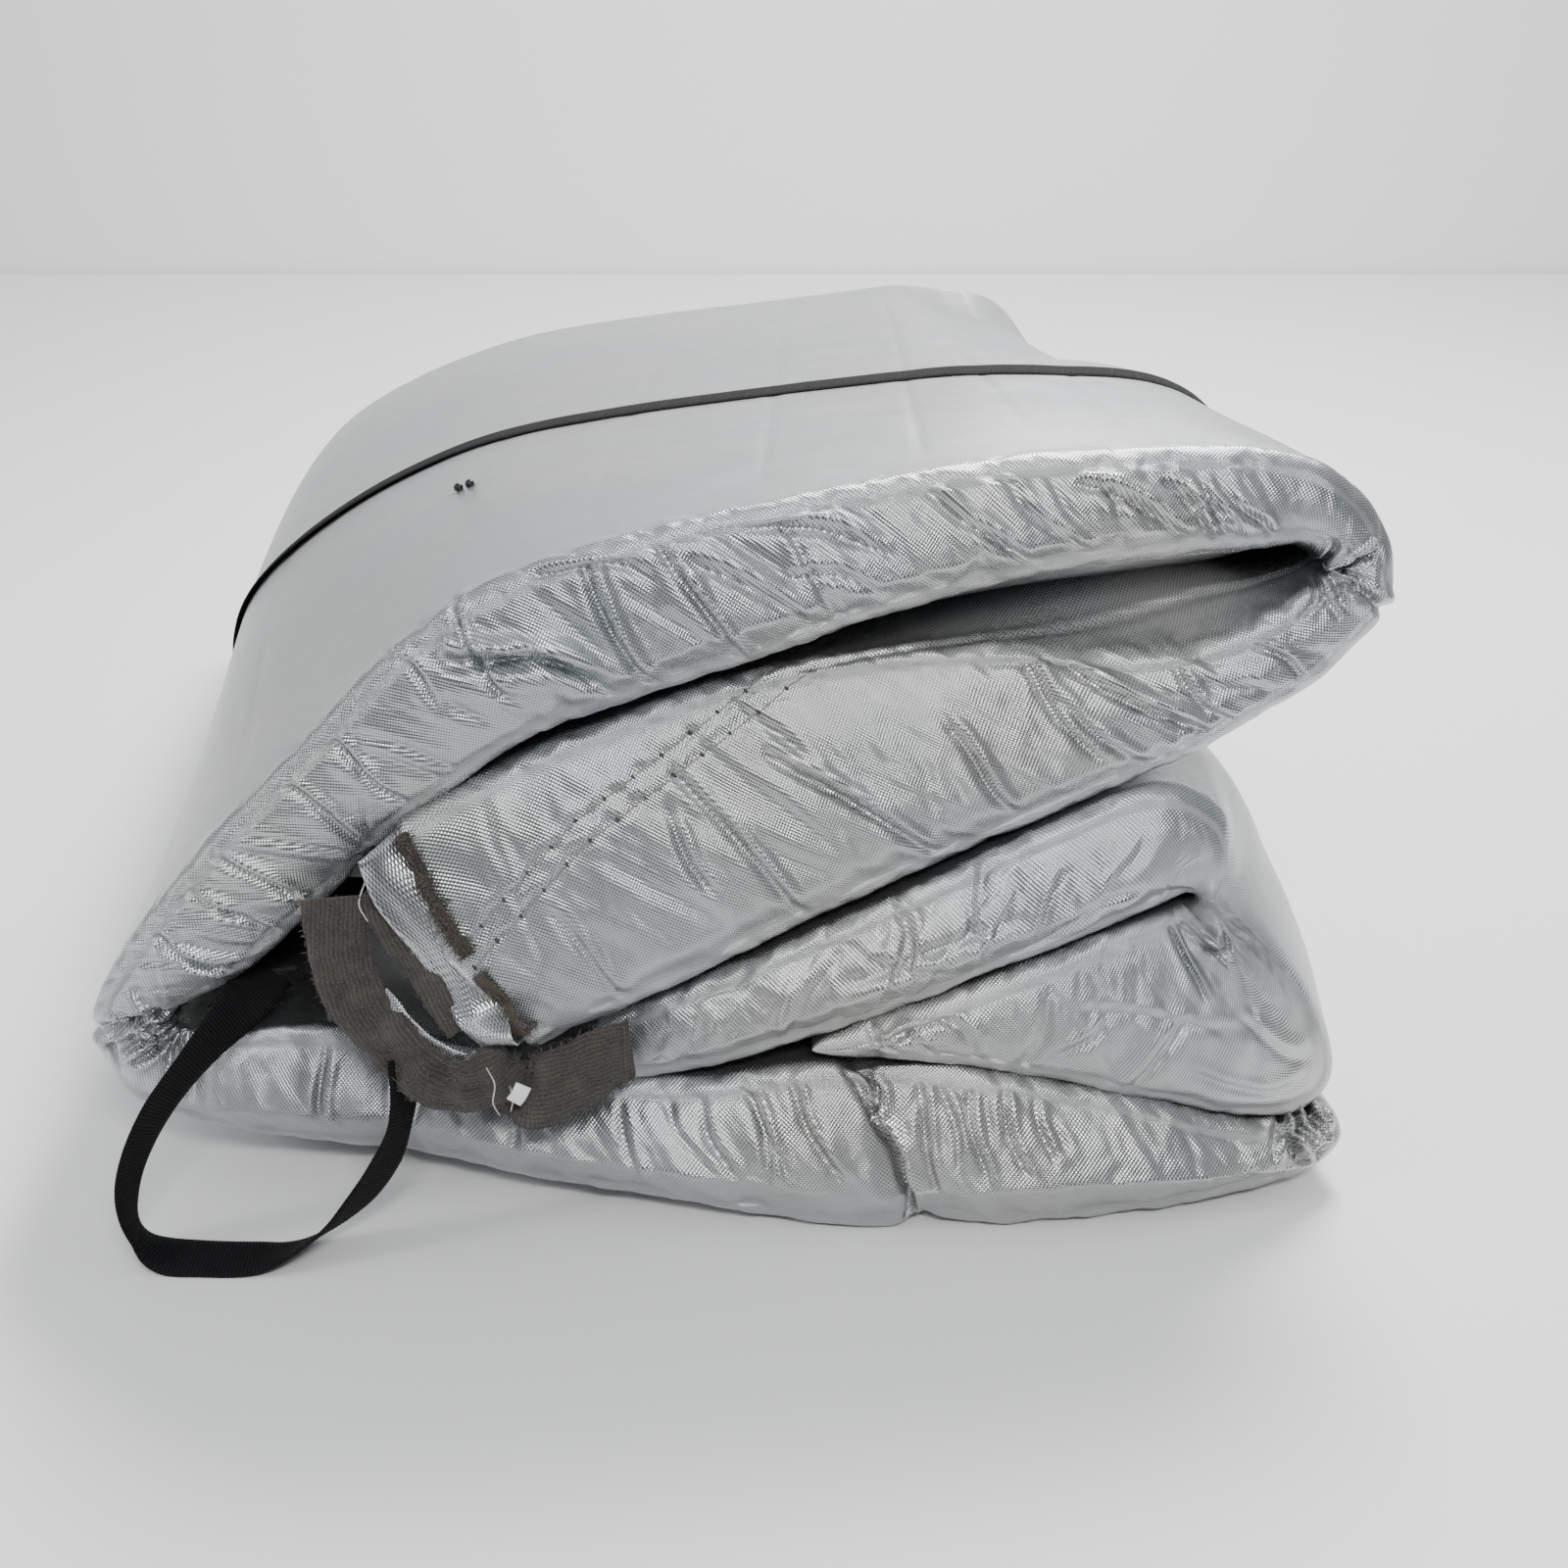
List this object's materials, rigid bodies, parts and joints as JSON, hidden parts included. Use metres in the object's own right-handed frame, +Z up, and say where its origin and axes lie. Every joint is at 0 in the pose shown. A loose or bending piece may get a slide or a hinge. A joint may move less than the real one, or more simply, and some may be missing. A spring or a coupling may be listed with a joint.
{
  "type": "folded padded cover",
  "caption": "Foam-padded cover of silver metallised fabric, folded into a bundle, with taped mouth, webbing strap and pull loop; the leaves open like a book.",
  "frame": {"origin": "middle of the bundle's footprint, on the surface it lies on", "axes": "+Z up, +Y from the folded front end to the back end, +X to the right seen from the front"},
  "size_m": [0.515, 0.6792, 0.2876],
  "materials": {
    "silver_fabric": "metallised woven fabric with a fine check weave, satin to shiny",
    "foam": "open-cell padding foam, unseen",
    "webbing": "ribbed black polypropylene webbing",
    "tape": "fuzzy grey-brown loop tape with knitted rows",
    "label": "plain white woven label",
    "bead": "glossy black"
  },
  "bodies": {
    "bottom": {"bottom_left_cover": "silver_fabric", "bottom_left_foam": "foam", "bottom_right_cover": "silver_fabric", "bottom_right_foam": "foam", "left_fold": "silver_fabric", "right_fold": "silver_fabric", "pull_loop_anchor": "webbing"},
    "upper": {"top_leaf_cover": "silver_fabric", "top_leaf_foam": "foam", "top_fold": "silver_fabric", "upper_lip_cover": "silver_fabric", "upper_lip_foam": "foam", "felled_seam": "silver_fabric", "edge_binding_upper": "tape", "edge_binding_lower": "tape", "loop_tape": "tape", "care_label": "label", "top_strap": "webbing", "tack_bead_left": "bead", "tack_bead_right": "bead"},
    "lower": {"lower_lip_cover": "silver_fabric", "lower_lip_foam": "foam", "inner_leaf_cover": "silver_fabric", "inner_leaf_foam": "foam", "middle_fold": "silver_fabric"},
    "pull_loop": {"pull_loop": "webbing"},
    "hook_tail": {"hook_tape_tail": "tape"}
  },
  "joints": [
    {"name": "left_fold_opens", "type": "hinge", "parent": "bottom", "child": "upper", "pos_m": [-0.211, -0.2761, 0.058], "axis": [0.016, -0.9995, 0.0273], "range_deg": [0, 70]},
    {"name": "right_fold_opens", "type": "hinge", "parent": "bottom", "child": "lower", "pos_m": [0.244, -0.2826, 0.017], "axis": [-0.1204, 0.9927, -0.0049], "range_deg": [0, 18]},
    {"name": "pull_loop_swings", "type": "hinge", "parent": "bottom", "child": "pull_loop", "pos_m": [-0.137, -0.2871, 0.072], "axis": [-0.6989, 0.624, 0.3495], "range_deg": [0, 50]},
    {"name": "hook_tail_peels", "type": "hinge", "parent": "lower", "child": "hook_tail", "pos_m": [-0.025, -0.3091, 0.08], "axis": [0, 0, 1], "range_deg": [0, 60]}
  ],
  "couplings": [
    {"joint": "right_fold_opens", "follows": "left_fold_opens", "ratio": 0.25}
  ]
}
